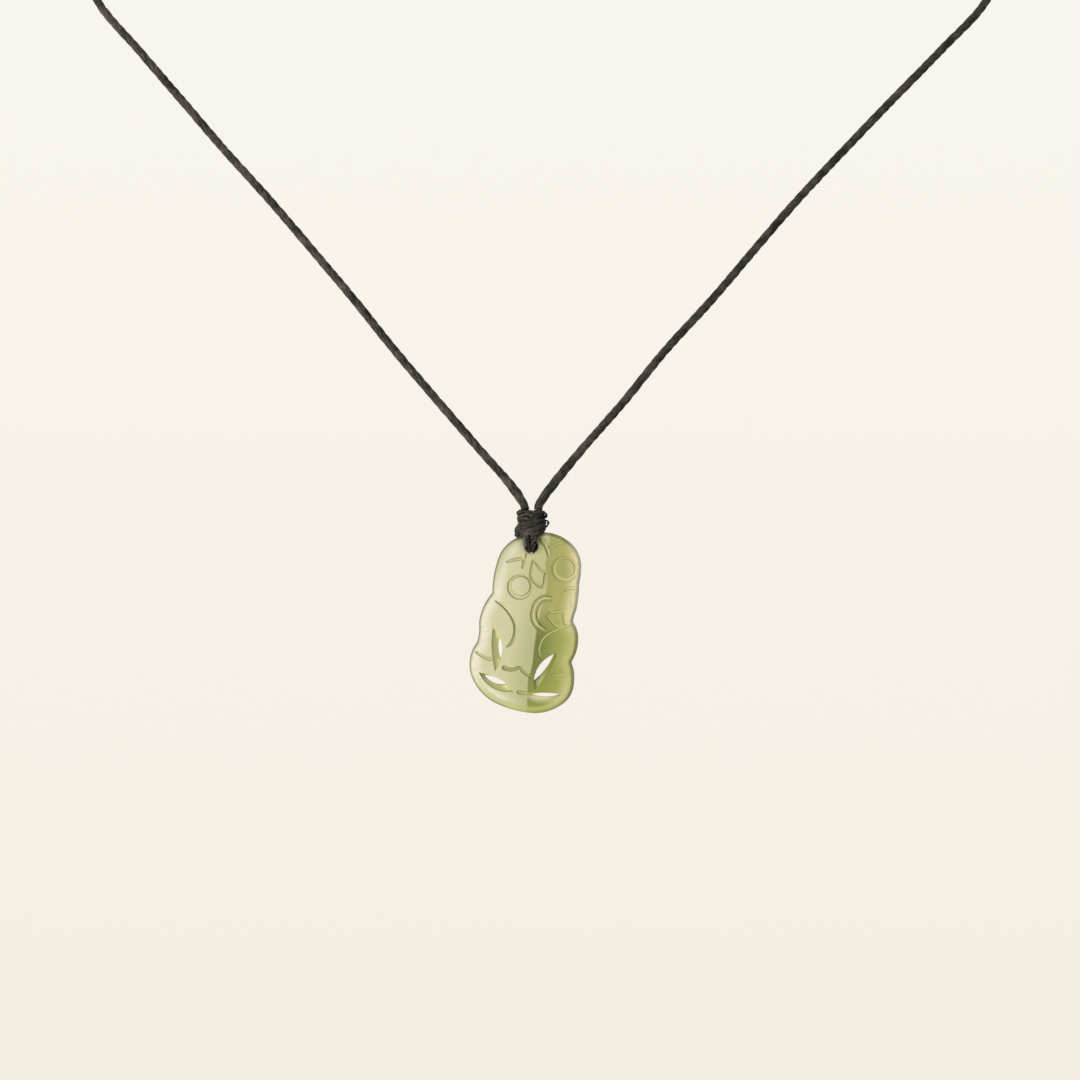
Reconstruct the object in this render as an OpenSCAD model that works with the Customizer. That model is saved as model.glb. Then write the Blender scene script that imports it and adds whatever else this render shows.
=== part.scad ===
// A carved jade figure that hangs from a waxed neck cord.
// Millimetres. The origin is the middle of the nape, where the loop rests;
// the figure hangs in front of it (-Y) and below it, and faces -Y.

/* [Stone] */
// Width of the stone
tiki_w = 21.3; // [18:0.1:28]
// Height of the stone
tiki_h = 34.7; // [30:0.1:46]
// Thickness through the belly
belly_t = 4.6; // [3.8:0.1:6]
// Thickness at the top of the head
head_t = 3.2; // [2.8:0.1:4.5]
// Thickness at the feet
foot_t = 3.8; // [3:0.1:5]
// Width of the rounding along the rim
rim_round = 1.2; // [0.8:0.05:1.6]
// Thickness left at the very edge, as a share of the thickness beside it
rim_share = 0.3; // [0.2:0.05:0.5]

/* [Drilled hole] */
// Diameter of the hole that the cord passes
hole_d = 2.4; // [2.2:0.1:3]
// From the top of the head down to the middle of the hole
hole_drop = 2.75; // [2.4:0.05:3.6]
// From the stone's middle line to the middle of the hole
hole_side = 1.2; // [0.5:0.1:2]

/* [Carving] */
// Width of an engraved line
line_w = 0.56; // [0.4:0.02:0.8]
// Depth of an engraved line
line_deep = 0.26; // [0.15:0.01:0.35]
// Outer diameter of an eye's ring
eye_d = 4.8; // [4:0.1:5.2]
// Width of an eye's ring
eye_w = 0.6; // [0.4:0.05:0.9]
// Depth of an eye's ring
eye_deep = 0.4; // [0.2:0.05:0.6]
// Share of the thickness at which a pierced slot has narrowed to its hole
slot_throat = 0.72; // [0.5:0.02:0.85]

/* [Cord] */
// Diameter of the neck cord
cord_d = 1.6; // [1.2:0.1:1.8]
// Diameter of the cord wound into the lashing
wrap_d = 1.4; // [1.1:0.1:1.6]
// Gap between the cord and the stone, and between neighbouring cord pieces
cord_gap = 0.1; // [0.05:0.01:0.2]
// Gap between the lashing and the top of the head, which lets the stone sway
sway_gap = 0.35; // [0.3:0.05:0.8]
// Height of the lashing, from its lowest turn's underside
lash_h = 4.2; // [3.8:0.1:5.5]

/* [Knot at the nape] */
// Length of the knot
knot_l = 9; // [7:0.5:14]
// Diameter of the knot
knot_d = 4.4; // [4:0.1:6]

/* [Hidden] */

// The middle of the drilled hole, which all that hangs is measured from
hang = [-2, -130, -155];

jade = [0.76, 0.78, 0.55];
waxed = [0.16, 0.14, 0.12];

arc_steps = 4;     // straight pieces in each arc of an outline
stroke_steps = 3;  // rings between two points of an engraved line
cut_over = 1;      // how far a cutter stands out of the stone

// Outline of the stone, an arc from each row to the next.
// [across as a share of half the width, up as a share of the height, bulge]
outline = [
    [-0.598, 0.668, 0.08],   // left of the neck
    [-0.508, 0.843, 0.21],
    [-0.188, 0.967, 0.12],
    [ 0.200, 1.000, 0.20],   // top of the head
    [ 0.758, 0.957, 0.24],
    [ 1.006, 0.817, 0.06],
    [ 0.970, 0.718, 0.04],   // cheek
    [ 0.920, 0.574, -0.06],
    [ 0.855, 0.507, 0.14],   // under the chin
    [ 0.950, 0.424, 0.16],   // shoulder
    [ 0.827, 0.283, 0.13],   // hip
    [ 0.875, 0.169, 0.27],
    [ 0.611, 0.040, 0.15],
    [ 0.143, 0.000, 0.10],   // feet
    [-0.573, 0.057, 0.23],
    [-1.002, 0.225, 0.22],
    [-0.876, 0.394, -0.10],  // left hip
    [-0.840, 0.502, 0.15]
];

// Pierced slots: each is a hollow in the front that narrows to a hole.
// [across, up] of one tip and the other, then the bulge of its two sides
slots = [ // [hollow, hole]
    [[[-0.60, 0.478], [-0.54, 0.232], 0.40, 0.09],
     [[-0.47, 0.420], [-0.45, 0.307], 0.26, 0.12]],
    [[[-0.85, 0.229], [-0.20, 0.120], 0.18, 0.33],
     [[-0.74, 0.216], [-0.34, 0.161], 0.18, 0.28]],
    [[[0.59, 0.334], [0.20, 0.140], 0.10, 0.42],
     [[0.52, 0.325], [0.18, 0.178], 0.05, 0.26]],
    [[[-0.14, 0.114], [0.64, 0.110], 0.09, 0.35],
     [[0.10, 0.108], [0.63, 0.106], 0.09, 0.21]]
];

// Middles of the eyes
eyes = [[-0.11, 0.698], [0.71, 0.797]]; // [across, up]

// Engraved lines, each a list of [across, up] points on the face
strokes = [
    [[-0.33, 0.837], [-0.19, 0.844], [-0.04, 0.850], [-0.05, 0.820], [-0.06, 0.793]], // left brow
    [[-0.28, 0.857], [-0.16, 0.863], [-0.03, 0.866]],                                 // above it
    [[0.16, 0.843], [0.11, 0.765], [0.18, 0.717], [0.30, 0.692],
     [0.36, 0.735], [0.38, 0.780], [0.24, 0.819]],                                    // nose
    [[0.32, 0.965], [0.37, 0.936], [0.43, 0.876]],                                    // forehead
    [[0.40, 0.927], [0.51, 0.938], [0.64, 0.944]],                                    // right brow
    [[0.74, 0.675], [0.81, 0.685], [0.90, 0.688]],                                    // cheek
    [[0.50, 0.641], [0.37, 0.643], [0.24, 0.622], [0.15, 0.579],
     [0.12, 0.533], [0.15, 0.490], [0.24, 0.459], [0.36, 0.443]],                     // mouth
    [[0.47, 0.624], [0.37, 0.620], [0.28, 0.592], [0.23, 0.550],
     [0.235, 0.512], [0.29, 0.481], [0.37, 0.466]],                                   // lip
    [[0.38, 0.557], [0.52, 0.559], [0.67, 0.567]],                                    // lip, across
    [[0.41, 0.540], [0.47, 0.503], [0.56, 0.478]],                                    // tongue
    [[0.69, 0.555], [0.70, 0.525], [0.74, 0.497]],                                    // tooth
    [[0.84, 0.487], [0.65, 0.476], [0.50, 0.452], [0.37, 0.420],
     [0.28, 0.388], [0.26, 0.350], [0.30, 0.300]],                                    // right arm
    [[-0.56, 0.624], [-0.40, 0.596], [-0.27, 0.544], [-0.19, 0.486],
     [-0.19, 0.432], [-0.25, 0.389], [-0.34, 0.366]],                                 // left arm
    [[-0.90, 0.342], [-0.80, 0.311], [-0.64, 0.291]],                                 // left hip
    [[-0.40, 0.254], [-0.26, 0.236], [-0.12, 0.254]],                                 // belly, left
    [[-0.08, 0.252], [0.00, 0.222], [0.12, 0.200]],                                   // belly, right
    [[0.50, 0.212], [0.59, 0.210], [0.68, 0.219]]                                     // right foot
];

// Turns of the lashing, from the stone up. Height is a share of the lashing's,
// across and deep are shares of the lowest turn's, thick is a share of the wound cord's
turns = [ // [up, across, deep, slant in degrees, thick]
    [0.00, 1.00, 1.00, 13, 1.00],
    [0.31, 0.97, 0.92, 15, 1.00],
    [0.53, 0.88, 0.80, -8, 0.80],
    [0.69, 0.88, 0.74, 2, 0.72]
];
core = [0.85, 0.72, 0.72];  // filling inside the turns: shares across, deep and of the height

// Route of the neck cord round the neck, from the lashing's left side to its right
cord_route = [
    [-3.2, -130, -147.75], [-3.8, -129.5, -146.3], [-6.5, -127.3, -142.5], [-11.8, -124.4, -136.5],
    [-20, -119, -127], [-28.5, -113.5, -117], [-36.5, -107.5, -107], [-44.9, -101.2, -97],
    [-53.4, -94.5, -87], [-62.4, -87.5, -77], [-71.4, -80, -66.5], [-80.4, -72.5, -56],
    [-89.2, -64.3, -45.5], [-93.5, -53, -34], [-92.5, -40, -24.5], [-86, -27.5, -16.5],
    [-75, -17, -10.5], [-60, -9, -6], [-41, -3.5, -2.5], [0, 0, 0], [41, -3.5, -2.5], [60, -9, -6], [75, -17, -10.5], [86, -27.5, -16.5],
    [92.5, -40, -24.5], [93.5, -53, -34], [89.1, -64.3, -45.5], [79.5, -72.5, -56],
    [69.3, -80, -66.5], [59.3, -87.5, -77], [50, -94.5, -87], [41.4, -101.2, -97],
    [32.9, -107.5, -107], [23.8, -113.5, -117], [15.7, -119, -127], [7.4, -124.4, -136.5],
    [2.5, -127.3, -142.5], [-0.3, -129.5, -146.3], [-0.8, -130, -147.75]
];
ring_every = 7.6;  // between two rings of the cord's tube
cord_sides = 8;

function mix(a, b, t) = a + (b - a) * t;
function flat(p) = [p[0], p[1]];
function turned(v) = [v[1], -v[0]];

// Points along an arc from a to b, b left out. bulge is the rise over half the chord.
function arc(a, b, bulge, n) =
    abs(bulge) < 0.001 ? [for (i = [0:n - 1]) mix(a, b, i / n)] :
    let (half = norm(b - a) / 2, rise = bulge * half,
         r = (half * half + rise * rise) / (2 * rise),
         out = -turned(b - a) / norm(b - a),
         middle = (a + b) / 2 - out * (r - rise),
         sweep_a = 4 * atan(bulge), start = a - middle)
    [for (i = [0:n - 1]) let (t = -sweep_a * i / n)
        middle + [start[0] * cos(t) - start[1] * sin(t), start[0] * sin(t) + start[1] * cos(t)]];

// Smooth curve through points, with n steps between two of them
function curve(points, n) = let (last = len(points) - 1) [
    for (i = [0:last - 1]) for (k = [0:n - 1])
        let (a = points[max(i - 1, 0)], b = points[i], c = points[i + 1],
             d = points[min(i + 2, last)], t = k / n)
        0.5 * (2 * b + (c - a) * t + (2 * a - 5 * b + 4 * c - d) * t * t
            + (3 * b - a - 3 * c + d) * t * t * t),
    points[last]];

// The same curve with its steps about as long as asked, however far apart the points are
function even_curve(points, every) = let (last = len(points) - 1) [
    for (i = [0:last - 1])
        let (around = [points[max(i - 1, 0)], points[i], points[i + 1], points[min(i + 2, last)]],
             n = max(1, round(norm(around[2] - around[1]) / every)), fine = curve(around, n))
        for (k = [0:n - 1]) fine[n + k],
    points[last]];

// Places on the stone's face, [across, up] shares to [x, z] from the stone's bottom middle
function on_face(s) = [s[0] * tiki_w / 2, s[1] * tiki_h];
stone_foot = [hang[0] - hole_side, hang[2] + hole_drop - tiki_h];

rim = let (rows = len(outline)) [for (i = [0:rows - 1])
    each arc(on_face(flat(outline[i])), on_face(flat(outline[(i + 1) % rows])),
             outline[i][2], arc_steps)];

// Shortest way from p to the rim
function to_edge(p, a, b) = let (ab = b - a, t = max(0, min(1, ((p - a) * ab) / (ab * ab))))
    norm(p - a - ab * t);
function rim_gap(p) = min([for (i = [0:len(rim) - 1]) to_edge(p, rim[i], rim[(i + 1) % len(rim)])]);

// Half the stone's thickness at p: a crowned body with a rounded rim
function crown(up) = let (head = head_t / 2, foot = foot_t / 2, belly = belly_t / 2)
    up > 0.45 ? mix(belly, head, pow((up - 0.45) / 0.55, 2))
              : mix(belly, foot, pow((0.45 - up) / 0.45, 2));
function rounding(gap) = gap >= rim_round ? 1 :
    rim_share + (1 - rim_share) * sqrt(1 - pow(1 - gap / rim_round, 2));
function body_half(p) = crown(p[1] / tiki_h);
function face(p) = body_half(p) * rounding(rim_gap(p));

// Solid through rings of points, each ring a list of the same length
module skin(rings) {
    n = len(rings[0]);
    last = len(rings) - 1;
    points = [for (ring = rings) each ring];
    sides = [for (i = [0:last - 1], k = [0:n - 1]) let (m = (k + 1) % n)
        each [[i * n + k, (i + 1) * n + m, i * n + m], [i * n + k, (i + 1) * n + k, (i + 1) * n + m]]];
    polyhedron(points, concat(sides, [[for (k = [0:n - 1]) k]], [[for (k = [n - 1:-1:0]) last * n + k]]));
}

// Direction of a path at point i
function heading(path, i) = let (v = path[min(i + 1, len(path) - 1)] - path[max(i - 1, 0)]) v / norm(v);
function upright(v, t) = let (w = v - t * (v * t)) w / norm(w);

// Rings of an oval tube along a path: wide and high are half sizes at each point
function tube_rings(path, wide, high, across, sides) = let (last = len(path) - 1) [
    for (i = 0, a = upright(across, heading(path, 0)); i <= last;
         i = i + 1, a = upright(a, heading(path, min(i, last))))
        let (b = cross(heading(path, i), a))
        [for (k = [0:sides - 1]) let (t = 360 * k / sides)
            path[i] + a * wide[i] * cos(t) + b * high[i] * sin(t)]];

module tube(path, radius, sides) {
    even = [for (p = path) radius];
    skin(tube_rings(path, even, even, [0.1, 1, 0.2], sides));
}

// Closed oval ring of cord, slanting up to the right, lower in front and behind
module turn(up, across, deep, slant, r, sag) {
    steps = 20;
    sides = 8;
    path = [for (i = [0:steps - 1]) let (t = 360 * i / steps)
        [across * cos(t), deep * sin(t), up + across * cos(t) * tan(slant) - sag * pow(sin(t), 2)]];
    points = [for (i = [0:steps - 1]) let (t = 360 * i / steps, out = [cos(t), sin(t), 0])
        for (k = [0:sides - 1]) let (s = 360 * (k + 0.5) / sides)
            path[i] + out * r * cos(s) + [0, 0, r * sin(s)]];
    faces = [for (i = [0:steps - 1], k = [0:sides - 1])
        let (j = (i + 1) % steps, m = (k + 1) % sides)
        each [[i * sides + k, i * sides + m, j * sides + m], [i * sides + k, j * sides + m, j * sides + k]]];
    polyhedron(points, faces);
}

// The body of the stone, standing up, its foot at the origin, facing -Y
module stone_body() {
    middle = on_face([-0.05, 0.48]);
    gaps = [0, 0.07, 0.25, 0.6, 1];  // shares of the rounding
    steps = len(rim);
    function inset(i, gap) = let (v = rim[i] - middle) middle + v * (1 - gap * rim_round / norm(v));
    levels = concat([for (g = gaps) [for (i = [0:steps - 1]) inset(i, g)]],
                    [[for (i = [0:steps - 1]) mix(middle, rim[i], 0.55)]]);
    front = [for (ring = levels) [for (p = ring) [p[0], -face(p), p[1]]]];
    back = [for (ring = levels) [for (p = ring) [p[0], face(p), p[1]]]];
    rings = concat([for (i = [len(levels) - 1:-1:0]) front[i]], back);
    points = concat([for (ring = rings) each ring],
                    [[middle[0], -face(middle), middle[1]], [middle[0], face(middle), middle[1]]]);
    last = len(rings) - 1;
    tip = len(points) - 2;
    faces = concat(
        [for (i = [0:last - 1], k = [0:steps - 1]) let (m = (k + 1) % steps)
            each [[i * steps + k, i * steps + m, (i + 1) * steps + m],
                  [i * steps + k, (i + 1) * steps + m, (i + 1) * steps + k]]],
        [for (k = [0:steps - 1]) [tip, (k + 1) % steps, k]],
        [for (k = [0:steps - 1]) [tip + 1, last * steps + k, last * steps + (k + 1) % steps]]);
    polyhedron(points, faces);
}

// A pointed lens between two tips, as a ring of [x, z]
function lens(shape) = let (a = on_face(shape[0]), b = on_face(shape[1]), n = 6)
    concat(arc(a, b, shape[2], n), arc(b, a, shape[3], n));

module slot(hollow, hole) {
    outer = lens(hollow);
    inner = lens(hole);
    middle = (outer[0] + outer[6]) / 2;
    deep = body_half(middle);
    throat = deep * (2 * slot_throat - 1);  // slots are cut from the front
    skin([[for (p = outer) [p[0], -deep - cut_over, p[1]]],
          [for (p = outer) [p[0], -deep, p[1]]],
          [for (p = inner) [p[0], throat, p[1]]],
          [for (p = inner) [p[0], deep + cut_over, p[1]]]]);
}

module stroke(points) {
    plan = curve([for (p = points) on_face(p)], stroke_steps);
    last = len(plan) - 1;
    r = line_w / 2;
    function taper(i) = let (t = min(i, last - i) / (last / 2)) 0.35 + 0.65 * sin(90 * min(1, 1.6 * t));
    path = [for (i = [0:last]) let (p = plan[i]) [p[0], -face(p) - r + line_deep * taper(i), p[1]]];
    wide = [for (i = [0:last]) r * taper(i)];
    high = [for (i = [0:last]) r];
    skin(tube_rings(path, high, wide, [0, 1, 0], 6));
}

module eye(place) {
    p = on_face(place);
    deep = face(p);
    outer = eye_d / 2;
    translate([p[0], -deep, p[1]]) rotate([90, 0, 0]) rotate_extrude($fn = 48)
        polygon([[outer - eye_w * 0.65, -eye_deep], [outer - eye_w * 0.35, -eye_deep],
                 [outer, 0], [outer, cut_over], [outer - eye_w, cut_over], [outer - eye_w, 0]]);
}

module tiki() {
    color(jade) translate([stone_foot[0], hang[1], stone_foot[1]]) difference() {
        stone_body();
        for (s = slots) slot(s[0], s[1]);
        for (e = eyes) eye(e);
        for (s = strokes) stroke(s);
        translate([hole_side, 0, tiki_h - hole_drop]) rotate([90, 0, 0])
            cylinder(h = belly_t + 2 * cut_over, d = hole_d, center = true, $fn = 48);
    }
}

// Half the stone's thickness where the hole is drilled
hole_half = crown(1 - hole_drop / tiki_h);

// Where the lashing starts above the hole, and the size of its lowest turn
head_slope = 0.3;   // how much lower the head is beside the hole than at its top
lash_foot = hole_drop - head_slope + sway_gap + wrap_d / 2;
turn_across = cord_d + wrap_d * 0.72;
turn_deep = hole_half + cord_d + wrap_d / 2 - 0.2;
squeeze = 0.95;     // how far the lashing presses the strands inwards

// One strand of the doubled cord: down the front, through the hole and up behind.
// Inside the hole the strands are pressed to ovals that fill it.
module strand(side) {
    r = cord_d / 2;
    top = lash_foot - cord_gap;
    out = hole_half + cord_gap + r;
    oval = [hole_d * 0.21, hole_d * 0.35];
    lip = hole_d * 0.46;
    front = [ // [across, out, up, lean of the section, half width, half height]
        [0.7 * r, out - squeeze, top, -12, 0.65 * r, 0.65 * r],
        [0.88 * r, out - 0.32 * squeeze, mix(lip, top, 0.5), -10, 0.96 * r, 0.96 * r],
        for (t = [0:0.25:1]) let (lean = 90 * t, high = mix(0.95 * r, oval[1], t),
                                  reach = mix(cord_gap + 0.95 * r, lip, t))
            [mix(0.84 * r, hole_d * 0.2, t), hole_half + reach * cos(lean), lip - reach * sin(lean),
             lean, mix(0.92 * r, oval[0], t), high],
        [hole_d * 0.2, 0.1, 0, 90, oval[0], oval[1]]
    ];
    last = len(front) - 1;
    skin([for (i = [0:2 * last + 1])
        let (behind = i > last, row = front[behind ? 2 * last + 1 - i : i], way = behind ? 1 : -1)
        [for (k = [0:9]) let (t = 36 * k)
            [side * row[0] + row[4] * cos(t),
             way * (row[1] + row[5] * sin(t) * cos(row[3])),
             row[2] - row[5] * sin(t) * sin(row[3])]]]);
}

module hang_loop() {
    color(waxed) translate(hang) {
        strand(-1);
        strand(1);
    }
}

module lashing() {
    color(waxed) translate(hang) {
        for (t = turns)
            turn(lash_foot + t[0] * lash_h, turn_across * t[1], turn_deep * t[2], t[3],
                 wrap_d / 2 * t[4], 0.2 * wrap_d);
        translate([0, 0, lash_foot]) linear_extrude(height = lash_h * core[2])
            polygon([for (i = [0:23]) [turn_across * core[0] * cos(15 * i), turn_deep * core[1] * sin(15 * i)]]);
    }
}

module neck_cord() {
    color(waxed) tube(even_curve(cord_route, ring_every), cord_d / 2, cord_sides);
}

module closing_knot() {
    r = knot_d / 2;
    bore = cord_d / 2 + cord_gap + 0.1;
    half = knot_l / 2;
    ease = r * 0.4;
    color(waxed) rotate([0, 90, 0]) rotate_extrude($fn = 32)
        polygon([[bore, -half], [r - ease, -half], [r, ease - half],
                 [r, half - ease], [r - ease, half], [bore, half]]);
}

tiki();
hang_loop();
lashing();
neck_cord();
closing_knot();
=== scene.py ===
import math
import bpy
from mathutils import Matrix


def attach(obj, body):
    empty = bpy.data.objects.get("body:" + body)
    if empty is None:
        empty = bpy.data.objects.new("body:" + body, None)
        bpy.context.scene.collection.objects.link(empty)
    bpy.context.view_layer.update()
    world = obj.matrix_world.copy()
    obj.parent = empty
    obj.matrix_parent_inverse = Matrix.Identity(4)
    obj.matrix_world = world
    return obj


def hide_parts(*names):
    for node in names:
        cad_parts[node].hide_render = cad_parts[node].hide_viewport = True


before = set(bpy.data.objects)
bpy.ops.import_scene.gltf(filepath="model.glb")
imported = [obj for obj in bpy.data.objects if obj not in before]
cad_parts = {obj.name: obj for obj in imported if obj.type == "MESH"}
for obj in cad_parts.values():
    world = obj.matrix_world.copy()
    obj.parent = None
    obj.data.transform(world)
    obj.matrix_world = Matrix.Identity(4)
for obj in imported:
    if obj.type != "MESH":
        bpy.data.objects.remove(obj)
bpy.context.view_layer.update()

from types import SimpleNamespace
import bmesh
import bpy
import numpy as np
from mathutils import Vector
from mathutils.geometry import delaunay_2d_cdt

mm = 0.001
hang = np.array([-2.0, -130.0, -155.0])  # middle of the drilled hole


# Camera, light, floor

view = {"place": (-0.42, -1630.0, -153.65), "lens": 260.0, "sensor": 36.0, "near": 50, "far": 20000}
backdrop = {"seenHigh": (0.945, 0.915, 0.860), "seenLow": (0.908, 0.850, 0.755), "seenSpan": (-0.09, 0.09),
            "bright": (0.74, 0.73, 0.715), "dim": (0.30, 0.30, 0.305), "below": (0.31, 0.30, 0.275),
            "brightWay": (-0.50, -0.66, -0.45), "brightSpan": (-0.35, 0.75), "belowSpan": (-0.19, -0.15)}
floorPlan = {"radius": 4000, "height": -850, "sides": 96, "glow": (0.95, 0.86, 0.75, 1), "glowStrength": 0.58,
             "dark": (0.80, 0.78, 0.73), "pale": (0.84, 0.82, 0.77)}
lampTarget = (-3, -130, -165)
lamps = [  # place in mm from the target, size in mm, watts, colour, whether polish mirrors it
    {"name": "keyLamp", "place": (-600, -540, -430), "size": 150, "power": 6.6,
     "colour": (1.0, 0.985, 0.95), "mirrored": False},
    {"name": "topLamp", "place": (60, -700, 420), "size": 420, "power": 1.4,
     "colour": (1.0, 0.99, 0.97), "mirrored": True},
    {"name": "backLamp", "place": (0, 700, 90), "size": 300, "power": 2.8,
     "colour": (1.0, 0.99, 0.97), "mirrored": False},
]


def linkObject(name, data):
    obj = bpy.data.objects.new(name, data)
    bpy.context.scene.collection.objects.link(obj)
    return obj


def circleLine(middle, radius, count):  # points round a circle, the last one on the first
    angles = np.linspace(0, 2 * math.pi, count + 1)
    return middle + radius * np.c_[np.cos(angles), np.sin(angles)]


def makeCamera():
    lens = bpy.data.cameras.new("photoView")
    lens.lens = view["lens"]
    lens.sensor_width = view["sensor"]
    lens.clip_start = view["near"] * mm
    lens.clip_end = view["far"] * mm
    eye = linkObject("photoView", lens)
    eye.location = [v * mm for v in view["place"]]
    eye.rotation_euler = (math.pi / 2, 0, 0)
    bpy.context.scene.camera = eye


def makeLamps():
    target = Vector(lampTarget) * mm
    for plan in lamps:
        lamp = bpy.data.lights.new(plan["name"], "AREA")
        lamp.shape = "DISK"
        lamp.size = plan["size"] * mm
        lamp.energy = plan["power"]
        lamp.color = plan["colour"]
        obj = linkObject(plan["name"], lamp)
        obj.visible_camera = False
        obj.visible_glossy = plan["mirrored"]
        obj.location = target + Vector(plan["place"]) * mm
        obj.rotation_euler = (target - obj.location).to_track_quat("-Z", "Y").to_euler()


makeCamera()
makeLamps()
print("camera and lamps placed")


# Shader helpers

class Value:  # a socket with the operators that the materials use
    def __init__(self, sheet, socket):
        self.sheet = sheet
        self.socket = socket

    def __getitem__(self, name):  # another output of the same node
        return Value(self.sheet, self.socket.node.outputs[name])

    def maths(self, kind, other=None, flipped=False):
        pair = (other, self) if flipped else (self, other)
        return self.sheet.node("ShaderNodeMath", {"operation": kind}, *pair)

    def __add__(self, other): return self.maths("ADD", other)
    def __radd__(self, other): return self.maths("ADD", other, True)
    def __sub__(self, other): return self.maths("SUBTRACT", other)
    def __rsub__(self, other): return self.maths("SUBTRACT", other, True)
    def __mul__(self, other): return self.maths("MULTIPLY", other)
    def __rmul__(self, other): return self.maths("MULTIPLY", other, True)
    def __truediv__(self, other): return self.maths("DIVIDE", other)
    def __pow__(self, other): return self.maths("POWER", other)


class Sheet:  # the node tree of a material, the world or the twisted plies
    def __init__(self, tree):
        self.tree = tree

    def node(self, kind, settings=None, *values, out=0, **named):
        made = self.tree.nodes.new(kind)
        for key, setting in (settings or {}).items():
            setattr(made, key, setting)
        for slot, value in list(enumerate(values)) + list(named.items()):
            name = slot if isinstance(slot, int) else slot.replace("_", " ")
            socket = made.inputs[name]
            if isinstance(value, Value):
                self.tree.links.new(value.socket, socket)
            elif value is not None:
                socket.default_value = value
        return Value(self, made.outputs[out]) if made.outputs else None

    def vectors(self, kind, *values, out=0, **named):
        return self.node("ShaderNodeVectorMath", {"operation": kind}, *values, out=out, **named)

    def attribute(self, name, out="Fac"):
        return self.node("ShaderNodeAttribute", {"attribute_name": name}, out=out)

    def place(self, scale=(1, 1, 1), shift=(0, 0, 0), turn=(0, 0, 0)):  # Object coordinates, in mm
        at = self.node("ShaderNodeTexCoord", out="Object")
        return self.node("ShaderNodeMapping", None, Vector=at, Location=shift, Rotation=turn,
                         Scale=[s * 1000 for s in scale])

    def clouds(self, at, detail=3.0, rough=0.5, warp=0.0):
        return self.node("ShaderNodeTexNoise", None, Vector=at, Scale=1.0, Detail=detail, Roughness=rough,
                         Distortion=warp)

    def blend(self, factor, a, b):
        made = self.tree.nodes.new("ShaderNodeMix")
        made.data_type = "RGBA"
        for socket, value in ((made.inputs[0], factor), (made.inputs[6], a), (made.inputs[7], b)):
            if isinstance(value, Value):
                self.tree.links.new(value.socket, socket)
            else:
                socket.default_value = (*value, 1) if isinstance(value, tuple) and len(value) == 3 else value
        return Value(self, made.outputs[2])

    def step(self, value, low, high):  # 0 below low, 1 above high, smooth between
        return self.node("ShaderNodeMapRange", {"interpolation_type": "SMOOTHSTEP"}, value, low, high)

    def finish(self, **named):  # a material's one shader and its output
        shader = self.node("ShaderNodeBsdfPrincipled", None, **named)
        self.node("ShaderNodeOutputMaterial", None, Surface=shader)


def emptySheet(owner):
    owner.use_nodes = True
    owner.node_tree.nodes.clear()
    return Sheet(owner.node_tree)


def newMaterial(name):
    material = bpy.data.materials.new(name)
    return material, emptySheet(material)


def makeWorld():
    world = bpy.data.worlds.new("studio")
    bpy.context.scene.world = world
    sheet = emptySheet(world)
    way = sheet.node("ShaderNodeTexCoord", out="Generated")
    high = sheet.node("ShaderNodeSeparateXYZ", None, way, out="Z")
    toBright = sheet.vectors("DOT_PRODUCT", way, backdrop["brightWay"], out="Value")
    light = sheet.blend(sheet.step(toBright, *backdrop["brightSpan"]), backdrop["dim"], backdrop["bright"])
    light = sheet.blend(sheet.step(high, *backdrop["belowSpan"]), backdrop["below"], light)
    paper = sheet.blend(sheet.step(high, *backdrop["seenSpan"]), backdrop["seenLow"], backdrop["seenHigh"])
    seen = sheet.node("ShaderNodeLightPath", out="Is Camera Ray")
    shader = sheet.node("ShaderNodeBackground", None, Color=sheet.blend(seen, light, paper), Strength=1.0)
    sheet.node("ShaderNodeOutputWorld", None, Surface=shader)


def makeFloor():
    plan = floorPlan
    material, sheet = newMaterial("paleFloor")
    colour = sheet.blend(sheet.clouds(sheet.place((0.02, 0.02, 0.02))), plan["dark"], plan["pale"])
    sheet.finish(Base_Color=colour, Roughness=0.8, Emission_Color=plan["glow"],
                 Emission_Strength=plan["glowStrength"])
    mesh = bpy.data.meshes.new("paleFloor")
    rim = circleLine((0, 0), plan["radius"], plan["sides"])[:-1]
    mesh.from_pydata([(x * mm, y * mm, plan["height"] * mm) for x, y in rim], [], [list(range(len(rim)))])
    mesh.materials.append(material)
    floor = linkObject("paleFloor", mesh)
    # the light from under the part comes from the world's "below"
    floor.visible_diffuse = floor.visible_glossy = False


bpy.context.scene.view_settings.view_transform = "Standard"
makeWorld()
makeFloor()
print("studio made")


# Curves

def smoothLine(points, every):  # through all the points, with steps about as long as asked
    points = np.array(points, float)
    last = len(points) - 1
    line = []
    for i in range(last):
        a, b, c, d = points[max(i - 1, 0)], points[i], points[i + 1], points[min(i + 2, last)]
        steps = max(1, round(np.linalg.norm(c - b) / every))
        for t in np.arange(steps) / steps:
            line.append(0.5 * (2 * b + (c - a) * t + (2 * a - 5 * b + 4 * c - d) * t * t
                               + (3 * b - a - 3 * c + d) * t ** 3))
    return np.array(line + [points[last]])


def lineLength(line):
    return float(np.linalg.norm(np.diff(line, axis=0), axis=1).sum())


def socketId(tree, name):
    return next(s.identifier for s in tree.interface.items_tree if s.name == name)


# How the lay of the plies wanders and how they swell: size of the noise, how much, step from seed to seed
layWander = {"scale": 90.0, "share": 0.5, "seedStep": 7.31}
plySwell = {"scale": 420.0, "share": 0.35, "seedStep": 3.17}
plyShift = 0.137  # how far the pattern of each ply lies along from the last one's


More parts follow.
